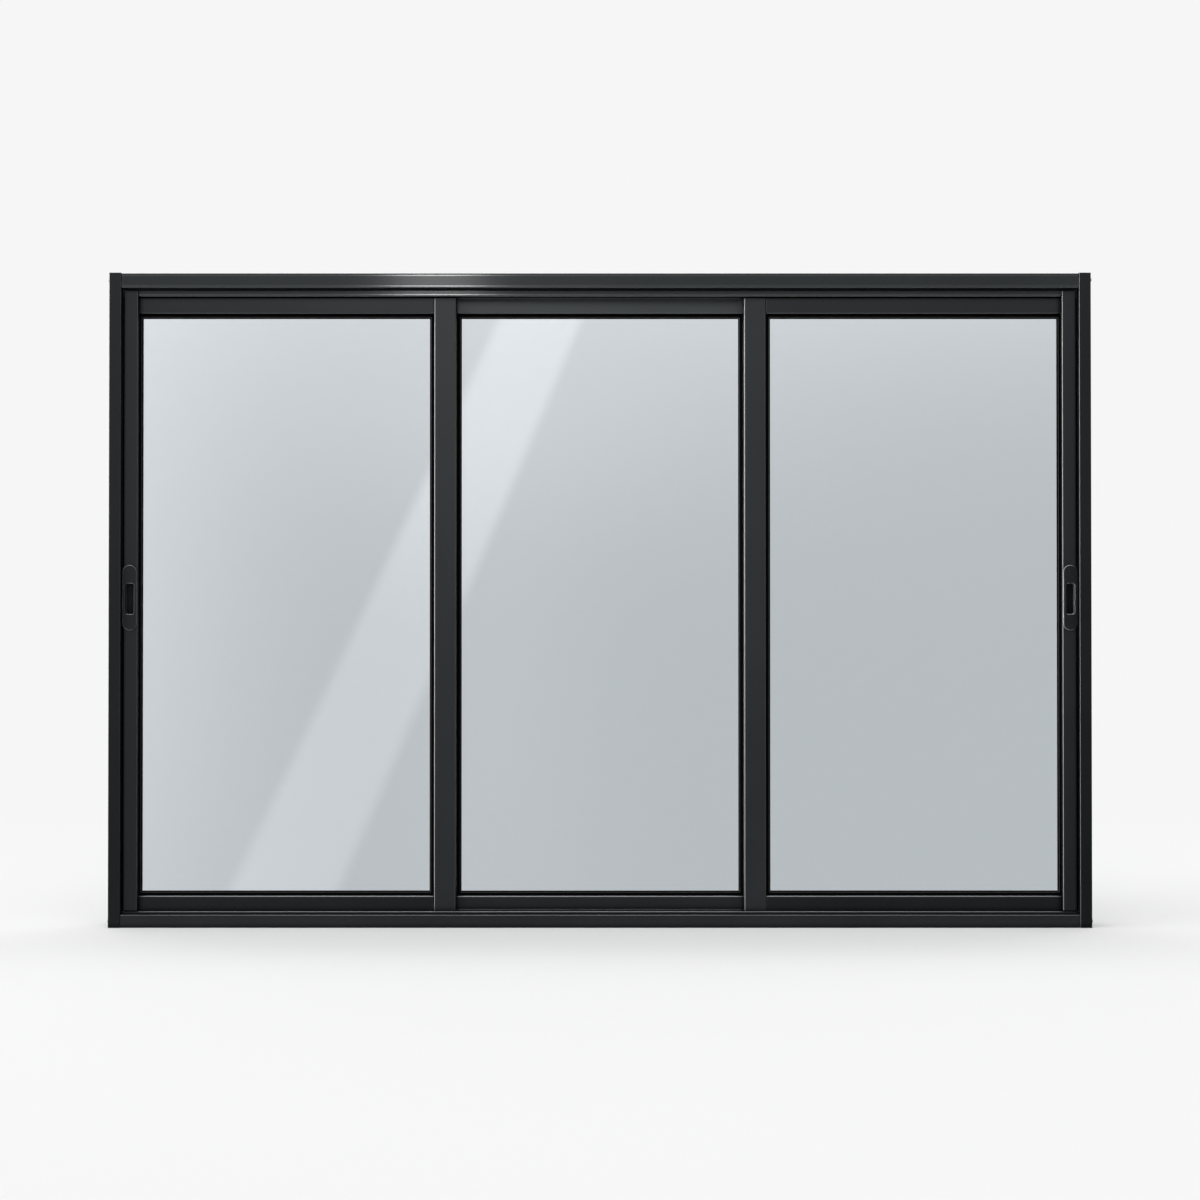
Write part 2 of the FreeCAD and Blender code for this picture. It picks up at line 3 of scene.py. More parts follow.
import bmesh
import bpy
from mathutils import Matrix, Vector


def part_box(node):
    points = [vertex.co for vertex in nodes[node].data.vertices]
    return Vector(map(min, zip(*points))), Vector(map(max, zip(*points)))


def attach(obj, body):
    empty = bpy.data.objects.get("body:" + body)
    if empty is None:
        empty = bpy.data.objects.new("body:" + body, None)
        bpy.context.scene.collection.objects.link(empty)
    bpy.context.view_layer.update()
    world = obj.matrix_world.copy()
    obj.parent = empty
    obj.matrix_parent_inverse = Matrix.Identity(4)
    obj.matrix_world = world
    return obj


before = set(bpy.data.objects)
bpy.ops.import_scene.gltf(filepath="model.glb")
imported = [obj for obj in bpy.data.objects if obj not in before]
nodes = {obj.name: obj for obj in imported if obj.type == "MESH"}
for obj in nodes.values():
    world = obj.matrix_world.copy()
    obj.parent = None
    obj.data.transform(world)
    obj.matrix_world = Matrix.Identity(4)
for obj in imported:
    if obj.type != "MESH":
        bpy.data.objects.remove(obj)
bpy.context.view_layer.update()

# The coated sections: sill, head, jambs, and the rails and stiles of the three lights.
# They are extruded aluminium with a near-black powder coat, cut square and screwed together.
# The coat is semi-gloss, with the fine ripple that a baked powder leaves.
# The colours after the plain one are painted light and shade: each piece's faces to the room take their
# own tone for the light that falls there. They are darker on the jambs, sill, sashes and bottom rails,
# and lighter on the set-back centre top rail. Sides and backs keep the plain coat colour.
plain_coat_colour = (0.0140, 0.0158, 0.0170)
jamb_front_painted_shade = (0.0034, 0.0043, 0.0051)
head_front_painted_light = (0.0136, 0.0163, 0.0174)
centre_front_painted_light = (0.0310, 0.0353, 0.0373)
sill_front_painted_shade = (0.0113, 0.0132, 0.0148)
sash_front_painted_shade = (0.0083, 0.0100, 0.0113)
low_front_painted_shade = (0.0052, 0.0066, 0.0077)
interlock_front_painted_light = (0.0136, 0.0159, 0.0176)
front_faces_y = (-0.9, -0.5)
dusty_share = 1.25
clouds_per_metre = 5.0
coat_roughness = (0.30, 0.36)
coat_specular = 0.12
head_specular = 0.06
ripples_per_metre = 900.0
ripple_depth = 0.00003
grain_detail = 2.0
edge_round = 0.0010
head_edge_round = 0.0016
edge_samples = 4
edge_full_at = 0.85
edge_starts_at = 0.998
head_edge_starts_at = 0.9998
edge_specular = 2.4
head_edge_specular = 4.0
edge_roughness = 0.18
right_edge_share = 0.35
right_edge_x = 0.4
crevice_reach = 0.010
crevice_samples = 6
crevice_contrast = 1.6
centre_crevice_contrast = 0.4
head_lacquer = 0.072
head_lacquer_roughness = 0.115
head_rib_lacquer = 0.34
head_rib_half_width = 0.0009
head_rib_heights = (1.1950, 1.1756, 1.1620)


def start_material(name):
    """New node material: returns it with its tree and its Principled shader."""
    material = bpy.data.materials.new(name)
    material.use_nodes = True
    tree = material.node_tree
    return material, tree, tree.nodes["Principled BSDF"]


def calculate(tree, operation, first, second=0.0, third=0.0):
    """One step of arithmetic. Each value is a number or another node's output."""
    step = tree.nodes.new("ShaderNodeMath")
    step.operation = operation
    for socket, value in zip(step.inputs, (first, second, third)):
        if isinstance(value, float):
            socket.default_value = value
        else:
            tree.links.new(value, socket)
    return step.outputs[0]


def multiply(tree, first, second):
    """Product of two values."""
    return calculate(tree, "MULTIPLY", first, second)


def axes_of(tree, vector):
    """X, Y and Z of a vector."""
    parts = tree.nodes.new("ShaderNodeSeparateXYZ")
    tree.links.new(vector, parts.inputs[0])
    return parts.outputs


def object_place(tree):
    """Place on the piece, in its own coordinates in metres."""
    return tree.nodes.new("ShaderNodeTexCoord").outputs["Object"]


def noise_at(tree, scale, detail=3.0, stretch=(1.0, 1.0, 1.0)):
    """Noise on the piece's own coordinates, stretched along chosen axes."""
    mapping = tree.nodes.new("ShaderNodeMapping")
    mapping.inputs["Scale"].default_value = stretch
    noise = tree.nodes.new("ShaderNodeTexNoise")
    noise.inputs["Scale"].default_value = scale
    noise.inputs["Detail"].default_value = detail
    tree.links.new(object_place(tree), mapping.inputs["Vector"])
    tree.links.new(mapping.outputs["Vector"], noise.inputs["Vector"])
    return noise.outputs["Fac"]


def spread(tree, factor, low, high, from_low=0.3, from_high=0.7, shape="LINEAR"):
    """Map a factor onto a range of numbers."""
    change = tree.nodes.new("ShaderNodeMapRange")
    change.interpolation_type = shape
    change.inputs["From Min"].default_value = from_low
    change.inputs["From Max"].default_value = from_high
    change.inputs["To Min"].default_value = low
    change.inputs["To Max"].default_value = high
    tree.links.new(factor, change.inputs["Value"])
    return change.outputs["Result"]


def blend_colours(tree, factor, first, second):
    """Blend two colours by a factor. Each is a colour's values or another node's output."""
    mix = tree.nodes.new("ShaderNodeMix")
    mix.data_type = "RGBA"
    tree.links.new(factor, mix.inputs["Factor"])
    for label, colour in (("A", first), ("B", second)):
        if isinstance(colour, tuple):
            mix.inputs[label].default_value = (*colour, 1.0)
        else:
            tree.links.new(colour, mix.inputs[label])
    return mix.outputs["Result"]


def add_bump(tree, shader, height, depth, normal=None):
    """Bump of a real depth in metres, on a given normal."""
    bump = tree.nodes.new("ShaderNodeBump")
    if normal:
        tree.links.new(normal, bump.inputs["Normal"])
    bump.inputs["Distance"].default_value = depth
    bump.inputs["Strength"].default_value = 1.0
    tree.links.new(height, bump.inputs["Height"])
    tree.links.new(bump.outputs["Normal"], shader.inputs["Normal"])


def finish_nodes(material, names):
    """Give CAD nodes a material."""
    for name in names:
        mesh = nodes[name].data
        mesh.materials.clear()
        mesh.materials.append(material)


def rounded_edges(tree, radius=edge_round, starts_at=edge_starts_at, right_share=right_edge_share):
    """Normal of softly rounded edges, and a mask of the edges that is weaker on right-hand ones, which
    the light from the left reaches less.
    """
    rounding = tree.nodes.new("ShaderNodeBevel")
    rounding.samples = edge_samples
    rounding.inputs["Radius"].default_value = radius
    normal = rounding.outputs["Normal"]
    size = tree.nodes.new("ShaderNodeVectorMath")
    size.operation = "ABSOLUTE"
    tree.links.new(normal, size.inputs[0])
    sizes = axes_of(tree, size.outputs["Vector"])
    largest = calculate(tree, "MAXIMUM", calculate(tree, "MAXIMUM", sizes["X"], sizes["Y"]), sizes["Z"])
    mask = spread(tree, largest, 1.0, 0.0, edge_full_at, starts_at)
    lit = spread(tree, axes_of(tree, normal)["X"], 1.0, right_share, 0.0, right_edge_x)
    return normal, multiply(tree, mask, lit)


def crevice_shade_share(tree, reach=crevice_reach, power=crevice_contrast):
    """One in the open and nothing deep in a crevice: painted shade that darkens the surface where it lies
    deep between parts.
    """
    crevice = tree.nodes.new("ShaderNodeAmbientOcclusion")
    crevice.samples = crevice_samples
    crevice.inputs["Distance"].default_value = reach
    return calculate(tree, "POWER", crevice.outputs["AO"], power)


def front_share(tree):
    """One on faces that look to the room, and nothing on the sides and the back."""
    surface = tree.nodes.new("ShaderNodeNewGeometry")
    facing = axes_of(tree, surface.outputs["True Normal"])
    return spread(tree, facing["Y"], 1.0, 0.0, *front_faces_y)


def head_shine(tree, front):
    """Lacquer of the head: thin over the faces, thicker on the fine ribs on its front."""
    height = axes_of(tree, object_place(tree))["Z"]
    weight = head_lacquer
    for rib_height in head_rib_heights:
        on_rib = calculate(tree, "COMPARE", height, rib_height, head_rib_half_width)
        weight = calculate(tree, "MULTIPLY_ADD", multiply(tree, on_rib, front), head_rib_lacquer, weight)
    return weight


def powder_coat(name, colour, head=False, contrast=crevice_contrast):
    """Semi-gloss coat with faint clouds of dust, smoother on the rounded edges, with painted light in the
    front colour and painted shade in crevices.
    """
    material, tree, shader = start_material(name)
    cloud = noise_at(tree, clouds_per_metre)
    dusty = spread(tree, cloud, 1.0, dusty_share)
    front = front_share(tree)
    # Painted light: faces to the room take the piece's lit or shaded tone, and sides and backs take the
    # plain coat.
    base = blend_colours(tree, front, plain_coat_colour, colour)
    # Painted shade: the base colour and the shine fall off deep in crevices.
    crevice_shade = crevice_shade_share(tree, crevice_reach, contrast)
    shaded = tree.nodes.new("ShaderNodeVectorMath")
    shaded.operation = "SCALE"
    tree.links.new(base, shaded.inputs[0])
    tree.links.new(multiply(tree, crevice_shade, dusty), shaded.inputs["Scale"])
    tree.links.new(shaded.outputs["Vector"], shader.inputs["Base Color"])
    if head:
        normal, edge = rounded_edges(tree, head_edge_round, head_edge_starts_at)
        shine = spread(tree, edge, head_specular, head_edge_specular, 0.0, 1.0)
        tree.links.new(head_shine(tree, front), shader.inputs["Coat Weight"])
        shader.inputs["Coat Roughness"].default_value = head_lacquer_roughness
    else:
        normal, edge = rounded_edges(tree)
        shine = spread(tree, edge, coat_specular, edge_specular, 0.0, 1.0)
    gloss = tree.nodes.new("ShaderNodeMix")
    gloss.inputs["B"].default_value = edge_roughness
    tree.links.new(edge, gloss.inputs["Factor"])
    tree.links.new(spread(tree, cloud, *coat_roughness), gloss.inputs["A"])
    tree.links.new(gloss.outputs["Result"], shader.inputs["Roughness"])
    tree.links.new(multiply(tree, shine, crevice_shade), shader.inputs["Specular IOR Level"])
    add_bump(tree, shader, noise_at(tree, ripples_per_metre, grain_detail), ripple_depth, normal)
    return material


jamb_coat = powder_coat("jamb_coat", jamb_front_painted_shade)
sill_coat = powder_coat("sill_coat", sill_front_painted_shade)
head_coat = powder_coat("head_coat", head_front_painted_light, head=True)
sash_coat = powder_coat("sash_coat", sash_front_painted_shade)
low_coat = powder_coat("low_coat", low_front_painted_shade)
interlock_coat = powder_coat("interlock_coat", interlock_front_painted_light)
centre_coat = powder_coat("centre_coat", centre_front_painted_light, contrast=centre_crevice_contrast)
finish_nodes(jamb_coat, ["left_jamb", "right_jamb"])
finish_nodes(sill_coat, ["sill", "fixed_bottom_rail"])
finish_nodes(head_coat, ["head"])
finish_nodes(centre_coat, ["fixed_top_rail"])
for side in ("left", "right"):
    for member in ("top_rail", "handle_stile", "fixed_stile"):
        finish_nodes(sash_coat, [side + "_" + member])
    finish_nodes(low_coat, [side + "_bottom_rail"])
    finish_nodes(interlock_coat, [side + "_interlock_stile"])

# Screws through the jambs into the ends of the sill and head.
# Zinc-plated pan heads with a cross recess, three at each corner of the frame.
# They sit on the outer faces of the jambs, out of sight from the room.
screw_radius = 0.0040
screw_rise = 0.0022
screw_dome_power = 0.5
screw_dome_steps = 6
screw_turn_steps = 20
screw_merge_distance = 0.00001
cross_width = 0.0012
cross_reach = 0.0026
cross_depth = 0.0014
screws_per_corner = 3
screw_first_depth = 0.0055
screw_spacing = 0.0275
screw_from_end = 0.0125
zinc_dull = (0.46, 0.47, 0.49)
zinc_bright = (0.60, 0.60, 0.60)
zinc_patches_per_metre = 60.0
zinc_grains_per_metre = 400.0
zinc_roughness = (0.28, 0.45)

zinc, zinc_tree, zinc_shader = start_material("zinc_plate")
zinc_shader.inputs["Metallic"].default_value = 1.0
zinc_patches = noise_at(zinc_tree, zinc_patches_per_metre)
zinc_base = blend_colours(zinc_tree, zinc_patches, zinc_dull, zinc_bright)
zinc_tree.links.new(zinc_base, zinc_shader.inputs["Base Color"])
zinc_gloss = spread(zinc_tree, noise_at(zinc_tree, zinc_grains_per_metre), *zinc_roughness)
zinc_tree.links.new(zinc_gloss, zinc_shader.inputs["Roughness"])


def screw_head():
    """Domed head along +X with a cross recess, standing on the YZ plane."""
    mesh = bpy.data.meshes.new("screw_head")
    shape = bmesh.new()
    profile = []
    for step in range(screw_dome_steps + 1):
        turn = math.pi / 2 * step / screw_dome_steps
        radius = screw_radius * math.cos(turn) ** screw_dome_power
        profile.append(shape.verts.new((screw_rise * math.sin(turn), radius, 0.0)))
    edges = [shape.edges.new(pair) for pair in zip(profile, profile[1:])]
    bmesh.ops.spin(
        shape,
        geom=profile + edges,
        axis=(1, 0, 0),
        cent=(0, 0, 0),
        angle=2 * math.pi,
        steps=screw_turn_steps,
    )
    bmesh.ops.remove_doubles(shape, verts=shape.verts, dist=screw_merge_distance)
    bmesh.ops.contextual_create(shape, geom=[edge for edge in shape.edges if edge.is_boundary])
    bmesh.ops.recalc_face_normals(shape, faces=shape.faces)
    shape.to_mesh(mesh)
    shape.free()
    head = bpy.data.objects.new("screw_head", mesh)
    bpy.context.scene.collection.objects.link(head)
    cutters = []
    for width, height in ((cross_width, cross_reach * 2), (cross_reach * 2, cross_width)):
        cut_mesh = bpy.data.meshes.new("cross_cut")
        cut = bmesh.new()
        bmesh.ops.create_cube(cut, size=1.0)
        bmesh.ops.scale(cut, vec=(2 * cross_depth, width, height), verts=cut.verts)
        bmesh.ops.translate(cut, vec=(screw_rise, 0, 0), verts=cut.verts)
        cut.to_mesh(cut_mesh)
        cut.free()
        cutter = bpy.data.objects.new("cross_cut", cut_mesh)
        bpy.context.scene.collection.objects.link(cutter)
        carve = head.modifiers.new("cross", "BOOLEAN")
        carve.operation = "DIFFERENCE"
        carve.solver = "EXACT"
        carve.object = cutter
        cutters.append(cutter)
    made = bpy.data.meshes.new_from_object(head.evaluated_get(bpy.context.evaluated_depsgraph_get()))
    for spare in cutters + [head]:
        bpy.data.objects.remove(spare)
    return made


def new_tree(name, inputs):
    """Geometry node tree with named inputs: returns the tree, its input node and its output node."""
    tree = bpy.data.node_groups.new(name, "GeometryNodeTree")
    tree.interface.new_socket("Geometry", in_out="INPUT", socket_type="NodeSocketGeometry")
    for label, kind in inputs:
        tree.interface.new_socket(label, in_out="INPUT", socket_type=kind)
    tree.interface.new_socket("Geometry", in_out="OUTPUT", socket_type="NodeSocketGeometry")
    return tree, tree.nodes.new("NodeGroupInput"), tree.nodes.new("NodeGroupOutput")


def run_tree(tree, name, values, body):
    """Run a tree on an empty mesh, keep the result as a plain mesh and let it ride on a body."""
    piece = bpy.data.objects.new(name, bpy.data.meshes.new(name))
    bpy.context.scene.collection.objects.link(piece)
    modifier = piece.modifiers.new("make", "NODES")
    modifier.node_group = tree
    for socket in tree.interface.items_tree:
        if socket.in_out == "INPUT" and socket.name in values:
            modifier[socket.identifier] = values[socket.name]
    made = bpy.data.meshes.new_from_object(piece.evaluated_get(bpy.context.evaluated_depsgraph_get()))
    made.name = name
    piece.modifiers.clear()
    piece.data = made
    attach(piece, body)


screw_corners = ("Left foot", "Left top", "Right foot", "Right top")
screw_tree, screw_in, screw_out = new_tree(
    "corner_screws",
    [
        ("Screw", "NodeSocketObject"),
        ("Count", "NodeSocketInt"),
        ("Step", "NodeSocketVector"),
        *((corner, "NodeSocketVector") for corner in screw_corners),
        ("Material", "NodeSocketMaterial"),
    ],
)
screw_object = screw_tree.nodes.new("GeometryNodeObjectInfo")
screw_join = screw_tree.nodes.new("GeometryNodeJoinGeometry")
screw_real = screw_tree.nodes.new("GeometryNodeRealizeInstances")
screw_paint = screw_tree.nodes.new("GeometryNodeSetMaterial")
screw_tree.links.new(screw_in.outputs["Screw"], screw_object.inputs["Object"])
for corner in screw_corners:
    screw_line = screw_tree.nodes.new("GeometryNodeMeshLine")
    screw_places = screw_tree.nodes.new("GeometryNodeInstanceOnPoints")
    screw_places.inputs["Rotation"].default_value = (0.0, 0.0, math.pi if "Left" in corner else 0.0)
    screw_tree.links.new(screw_in.outputs["Count"], screw_line.inputs["Count"])
    screw_tree.links.new(screw_in.outputs["Step"], screw_line.inputs["Offset"])
    screw_tree.links.new(screw_in.outputs[corner], screw_line.inputs["Start Location"])
    screw_tree.links.new(screw_line.outputs["Mesh"], screw_places.inputs["Points"])
    screw_tree.links.new(screw_object.outputs["Geometry"], screw_places.inputs["Instance"])
    screw_tree.links.new(screw_places.outputs["Instances"], screw_join.inputs["Geometry"])
screw_tree.links.new(screw_join.outputs["Geometry"], screw_real.inputs["Geometry"])
screw_tree.links.new(screw_real.outputs["Geometry"], screw_paint.inputs["Geometry"])
screw_tree.links.new(screw_in.outputs["Material"], screw_paint.inputs["Material"])
screw_tree.links.new(screw_paint.outputs["Geometry"], screw_out.inputs["Geometry"])

screw_pattern = bpy.data.objects.new("screw_pattern", screw_head())
bpy.context.scene.collection.objects.link(screw_pattern)
frame_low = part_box("left_jamb")[0]
frame_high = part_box("right_jamb")[1]
screw_depth = frame_low.y + screw_first_depth
screw_foot = frame_low.z + screw_from_end
screw_top = frame_high.z - screw_from_end
screw_values = {
    "Screw": screw_pattern,
    "Count": screws_per_corner,
    "Step": (0.0, screw_spacing, 0.0),
    "Left foot": (frame_low.x, screw_depth, screw_foot),
    "Left top": (frame_low.x, screw_depth, screw_top),
    "Right foot": (frame_high.x, screw_depth, screw_foot),
    "Right top": (frame_high.x, screw_depth, screw_top),
    "Material": zinc,
}
run_tree(screw_tree, "corner_screws", screw_values, "frame")
bpy.data.objects.remove(screw_pattern)

# The roller track and the housings of the rollers: bare metal, out of sight from the room.
# The track is a separate mill-finish rail on the sill, and the wheels polish its round bead in streaks.
# The housings are folded from zinc-plated steel and sit in the bottom rails of the sashes.
rail_dull = (0.42, 0.43, 0.45)
rail_bright = (0.60, 0.61, 0.62)
rail_roughness = (0.25, 0.5)
rail_streaks_per_metre = 260.0
rail_streak_detail = 4.0
rail_streak_stretch = (0.02, 1.0, 1.0)
rail_streak_depth = 0.00003

rail_metal, rail_tree, rail_shader = start_material("mill_aluminium")
rail_shader.inputs["Metallic"].default_value = 1.0
rail_streak = noise_at(rail_tree, rail_streaks_per_metre, rail_streak_detail, rail_streak_stretch)
rail_base = blend_colours(rail_tree, rail_streak, rail_dull, rail_bright)
rail_tree.links.new(rail_base, rail_shader.inputs["Base Color"])
rail_gloss = spread(rail_tree, rail_streak, *rail_roughness)
rail_tree.links.new(rail_gloss, rail_shader.inputs["Roughness"])
add_bump(rail_tree, rail_shader, rail_streak, rail_streak_depth)
finish_nodes(rail_metal, ["roller_track"])
finish_nodes(zinc, ["left_roller_housings", "right_roller_housings"])

# Nylon parts: wheels, top guides, centre stops and packers.
# Moulded in dark nylon, which has a soft sheen and a fine grain.
nylon_dark = (0.030, 0.030, 0.032)
nylon_pale = (0.052, 0.052, 0.055)
nylon_clouds_per_metre = 90.0
nylon_grains_per_metre = 1800.0
nylon_grain_depth = 0.00004
nylon_roughness = 0.48

nylon, nylon_tree, nylon_shader = start_material("dark_nylon")
nylon_clouds = noise_at(nylon_tree, nylon_clouds_per_metre)
nylon_base = blend_colours(nylon_tree, nylon_clouds, nylon_dark, nylon_pale)
nylon_tree.links.new(nylon_base, nylon_shader.inputs["Base Color"])
nylon_shader.inputs["Roughness"].default_value = nylon_roughness
nylon_grain = noise_at(nylon_tree, nylon_grains_per_metre, grain_detail)
add_bump(nylon_tree, nylon_shader, nylon_grain, nylon_grain_depth)
finish_nodes(nylon, ["sill_centre_stop", "head_centre_stop", "fixed_packers"])
for side in ("left", "right"):
    finish_nodes(nylon, [side + "_wheels", side + "_top_guides"])

# Gaskets and bulb seals: extruded black rubber, pressed in round the glass.
# Each gasket slopes down to the glass, and carries a thin lip half way down the slope.
rubber_dark = (0.0004, 0.0004, 0.0004)
rubber_bloom = (0.0010, 0.0010, 0.0010)
rubber_clouds_per_metre = 25.0
rubber_grains_per_metre = 1400.0
rubber_grain_depth = 0.00003
rubber_roughness = 0.6
rubber_specular = 0.02
lip_dark = (0.010, 0.010, 0.011)
lip_bloom = (0.017, 0.017, 0.018)
lip_roughness = 0.35
lip_specular = 0.35
glass_bite = 0.008
lip_from_sight = 0.0060
lip_radius = 0.0007
lip_round_steps = 10
lip_corner_radius = 0.002
lip_corner_steps = 3
lip_behind_gasket_face = 0.0024

rubber, rubber_tree, rubber_shader = start_material("black_rubber")
rubber_clouds = noise_at(rubber_tree, rubber_clouds_per_metre)
rubber_base = blend_colours(rubber_tree, rubber_clouds, rubber_dark, rubber_bloom)
rubber_tree.links.new(rubber_base, rubber_shader.inputs["Base Color"])
rubber_shader.inputs["Roughness"].default_value = rubber_roughness
rubber_shader.inputs["Specular IOR Level"].default_value = rubber_specular
rubber_grain = noise_at(rubber_tree, rubber_grains_per_metre, grain_detail)
add_bump(rubber_tree, rubber_shader, rubber_grain, rubber_grain_depth)
finish_nodes(rubber, ["left_gasket", "right_gasket", "fixed_gasket", "left_jamb_seal", "right_jamb_seal"])

lip_rubber, lip_finish, lip_shader = start_material("lip_rubber")
lip_clouds = noise_at(lip_finish, rubber_clouds_per_metre)
lip_base = blend_colours(lip_finish, lip_clouds, lip_dark, lip_bloom)
lip_finish.links.new(lip_base, lip_shader.inputs["Base Color"])
lip_shader.inputs["Roughness"].default_value = lip_roughness
lip_shader.inputs["Specular IOR Level"].default_value = lip_specular

lip_tree, lip_in, lip_out = new_tree(
    "gasket_lip",
    [
        ("Width", "NodeSocketFloat"),
        ("Height", "NodeSocketFloat"),
        ("Middle", "NodeSocketVector"),
        ("Across", "NodeSocketVector"),
        ("Radius", "NodeSocketFloat"),
        ("Material", "NodeSocketMaterial"),
    ],
)
lip_path = lip_tree.nodes.new("GeometryNodeCurvePrimitiveQuadrilateral")
lip_corners = lip_tree.nodes.new("GeometryNodeFilletCurve")
lip_profile = lip_tree.nodes.new("GeometryNodeCurvePrimitiveCircle")
lip_sweep = lip_tree.nodes.new("GeometryNodeCurveToMesh")
lip_join = lip_tree.nodes.new("GeometryNodeJoinGeometry")
lip_real = lip_tree.nodes.new("GeometryNodeRealizeInstances")
lip_paint = lip_tree.nodes.new("GeometryNodeSetMaterial")
lip_corners.mode = "POLY"
lip_corners.inputs["Count"].default_value = lip_corner_steps
lip_corners.inputs["Radius"].default_value = lip_corner_radius
lip_profile.inputs["Resolution"].default_value = lip_round_steps
lip_tree.links.new(lip_in.outputs["Width"], lip_path.inputs["Width"])
lip_tree.links.new(lip_in.outputs["Height"], lip_path.inputs["Height"])
lip_tree.links.new(lip_path.outputs["Curve"], lip_corners.inputs["Curve"])
lip_tree.links.new(lip_in.outputs["Radius"], lip_profile.inputs["Radius"])
lip_tree.links.new(lip_corners.outputs["Curve"], lip_sweep.inputs["Curve"])
lip_tree.links.new(lip_profile.outputs["Curve"], lip_sweep.inputs["Profile Curve"])
for sign in (-1.0, 1.0):
    lip_offset = lip_tree.nodes.new("ShaderNodeVectorMath")
    lip_offset.operation = "SCALE"
    lip_offset.inputs["Scale"].default_value = sign
    lip_sum = lip_tree.nodes.new("ShaderNodeVectorMath")
    lip_sum.operation = "ADD"
    lip_stand = lip_tree.nodes.new("GeometryNodeTransform")
    lip_stand.inputs["Rotation"].default_value = (math.pi / 2, 0.0, 0.0)
    lip_tree.links.new(lip_in.outputs["Across"], lip_offset.inputs[0])
    lip_tree.links.new(lip_offset.outputs["Vector"], lip_sum.inputs[0])
    lip_tree.links.new(lip_in.outputs["Middle"], lip_sum.inputs[1])
    lip_tree.links.new(lip_sum.outputs["Vector"], lip_stand.inputs["Translation"])
    lip_tree.links.new(lip_sweep.outputs["Mesh"], lip_stand.inputs["Geometry"])
    lip_tree.links.new(lip_stand.outputs["Geometry"], lip_join.inputs["Geometry"])
lip_tree.links.new(lip_join.outputs["Geometry"], lip_real.inputs["Geometry"])
lip_tree.links.new(lip_real.outputs["Geometry"], lip_paint.inputs["Geometry"])
lip_tree.links.new(lip_in.outputs["Material"], lip_paint.inputs["Material"])
lip_tree.links.new(lip_paint.outputs["Geometry"], lip_out.inputs["Geometry"])

lip_inset = 2 * (glass_bite + lip_from_sight)
for light, body in (("left", "left_sash"), ("right", "right_sash"), ("fixed", "frame")):
    glass_low, glass_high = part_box(light + "_glass")
    gasket_low, gasket_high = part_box(light + "_gasket")
    glass_middle = (glass_low + glass_high) / 2
    gasket_middle = (gasket_low + gasket_high) / 2
    lip_values = {
        "Width": glass_high.x - glass_low.x - lip_inset,
        "Height": glass_high.z - glass_low.z - lip_inset,
        "Middle": (glass_middle.x, gasket_middle.y, glass_middle.z),
        "Across": (0.0, (gasket_high.y - gasket_low.y) / 2 - lip_behind_gasket_face, 0.0),
        "Radius": lip_radius,
        "Material": lip_rubber,
    }
    run_tree(lip_tree, light + "_gasket_lip", lip_values, body)

# The panes: 5 mm glass, tinted in the mass, pale grey-blue in front of a white wall.
# A light solar-control coating makes them reflect more than plain glass.
glass_tint = (0.550, 0.595, 0.625)
glass_ior = 1.9

pane_glass, _, pane_shader = start_material("tinted_glass")
pane_shader.inputs["Base Color"].default_value = (*glass_tint, 1.0)
pane_shader.inputs["Transmission Weight"].default_value = 1.0
pane_shader.inputs["Roughness"].default_value = 0.0
pane_shader.inputs["IOR"].default_value = glass_ior
finish_nodes(pane_glass, ["left_glass", "right_glass", "fixed_glass"])

# The flush pulls: cast plates with a cup for the fingers, coated smoother than the frame.
# The rims carry a painted highlight, stronger on the left-hand ones, and the cup carries painted shade
# inside.
pull_colour = (0.0070, 0.0085, 0.0094)
cup_painted_shade_colour = (0.0028, 0.0034, 0.0038)
pull_rim_painted_highlight = (0.300, 0.310, 0.320)
pull_clouds_per_metre = 18.0
pull_roughness = (0.22, 0.34)
pull_grains_per_metre = 1200.0
pull_grain_depth = 0.00003
pull_edge_round = 0.0014
pull_edge_specular = 4.0
pull_right_edge_share = 0.15
cup_mouth_y = -0.0275
cup_floor_y = -0.0205
cup_shade_reach = 0.022
cup_shade_contrast = 1.7

pull_coat, pull_tree, pull_shader = start_material("pull_coat")
pull_y = axes_of(pull_tree, object_place(pull_tree))["Y"]
# Painted shade: the colour darkens with depth into the cup.
cup_shade_depth = spread(pull_tree, pull_y, 0.0, 1.0, cup_mouth_y, cup_floor_y)
pull_base = blend_colours(pull_tree, cup_shade_depth, pull_colour, cup_painted_shade_colour)
pull_gloss = spread(pull_tree, noise_at(pull_tree, pull_clouds_per_metre), *pull_roughness)
pull_tree.links.new(pull_gloss, pull_shader.inputs["Roughness"])
pull_normal, pull_edge = rounded_edges(pull_tree, pull_edge_round, edge_starts_at, pull_right_edge_share)
# Painted highlight: the rims are lightened, more on the left-hand edges than on the right.
pull_rim_highlit = blend_colours(pull_tree, pull_edge, pull_base, pull_rim_painted_highlight)
pull_tree.links.new(pull_rim_highlit, pull_shader.inputs["Base Color"])
pull_shine = spread(pull_tree, pull_edge, coat_specular, pull_edge_specular, 0.0, 1.0)
# Painted shade: the shine of the pull falls off inside the cup and beside the jamb.
pull_crevice_shade = crevice_shade_share(pull_tree, cup_shade_reach, cup_shade_contrast)
pull_tree.links.new(multiply(pull_tree, pull_shine, pull_crevice_shade), pull_shader.inputs["Specular IOR Level"])
pull_grain = noise_at(pull_tree, pull_grains_per_metre, grain_detail)
add_bump(pull_tree, pull_shader, pull_grain, pull_grain_depth, pull_normal)
finish_nodes(pull_coat, ["left_pull_handle", "right_pull_handle"])

